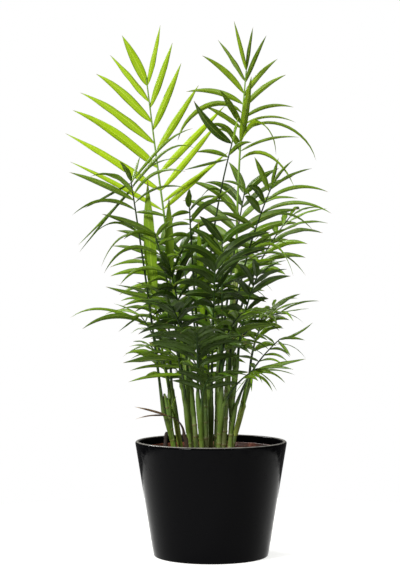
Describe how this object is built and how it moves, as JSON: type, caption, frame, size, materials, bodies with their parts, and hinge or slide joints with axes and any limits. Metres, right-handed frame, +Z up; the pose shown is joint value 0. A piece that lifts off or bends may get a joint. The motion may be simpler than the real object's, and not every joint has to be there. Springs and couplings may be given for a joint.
{
  "type": "potted palm",
  "caption": "Clump of slim palm canes with arching feather fronds, growing in potting mix in a thin nursery pot that stands in a round tapered glazed cachepot.",
  "frame": {"origin": "centre of the cachepot's flat foot, on the surface that it stands on", "axes": "+Z up along the pot's axis; -Y is the side that the plant shows its front to; +X to the right when it is looked at from the front"},
  "size_m": [0.299, 0.2468, 0.6012],
  "materials": {
    "glaze": "gloss black glaze",
    "terracotta_plastic": "matt red-brown moulded plastic",
    "potting_mix": "loose reddish-brown fibrous potting mix",
    "cane": "smooth light green with ring scars",
    "leaf": "satin mature leaf with fine parallel veins",
    "young_leaf": "satin young leaf, thin and bright yellow-green",
    "dry_leaf": "dry brown fibrous stalk and leaf"
  },
  "bodies": {
    "root": {"cachepot": "glaze", "nursery_pot": "terracotta_plastic", "potting_mix": "potting_mix", "cane_01": "cane", "cane_02": "cane", "cane_03": "cane", "cane_04": "cane", "cane_05": "cane", "cane_06": "cane", "cane_07": "cane", "cane_08": "cane", "cane_09": "cane", "cane_10": "cane", "cane_11": "cane", "cane_12": "cane", "cane_13": "cane", "cane_14": "cane", "dry_stub": "dry_leaf", "frond_left_tall": "leaf", "frond_right_tall": "leaf", "frond_left_crown": "young_leaf", "frond_right_crown": "leaf", "frond_centre_tall": "leaf", "frond_left_arching": "leaf", "frond_middle_tall": "leaf", "frond_back_tall": "leaf", "frond_back_left_tall": "leaf", "frond_middle_dark": "leaf", "frond_middle_back": "leaf", "frond_right_back_tall": "leaf", "frond_middle_front": "leaf", "frond_middle_right": "leaf", "frond_middle_left": "leaf", "frond_left_low": "leaf", "frond_left_level": "leaf", "frond_left_broad": "leaf", "frond_right_upper_low": "leaf", "frond_right_fan": "leaf", "frond_right_broad": "leaf", "frond_right_drooping": "leaf", "frond_front_low": "leaf", "frond_front_left": "leaf", "frond_front_right": "leaf", "frond_front_centre": "leaf", "frond_back_low": "leaf", "frond_back_centre": "leaf", "frond_back_left_low": "leaf", "frond_back_right_low": "leaf", "frond_back_right": "leaf", "frond_right_low": "leaf", "frond_left_back_low": "leaf", "frond_young_shoot": "young_leaf", "dry_frond": "dry_leaf", "spear_left": "young_leaf", "spear_middle": "young_leaf", "spear_centre": "young_leaf"}
  },
  "joints": []
}
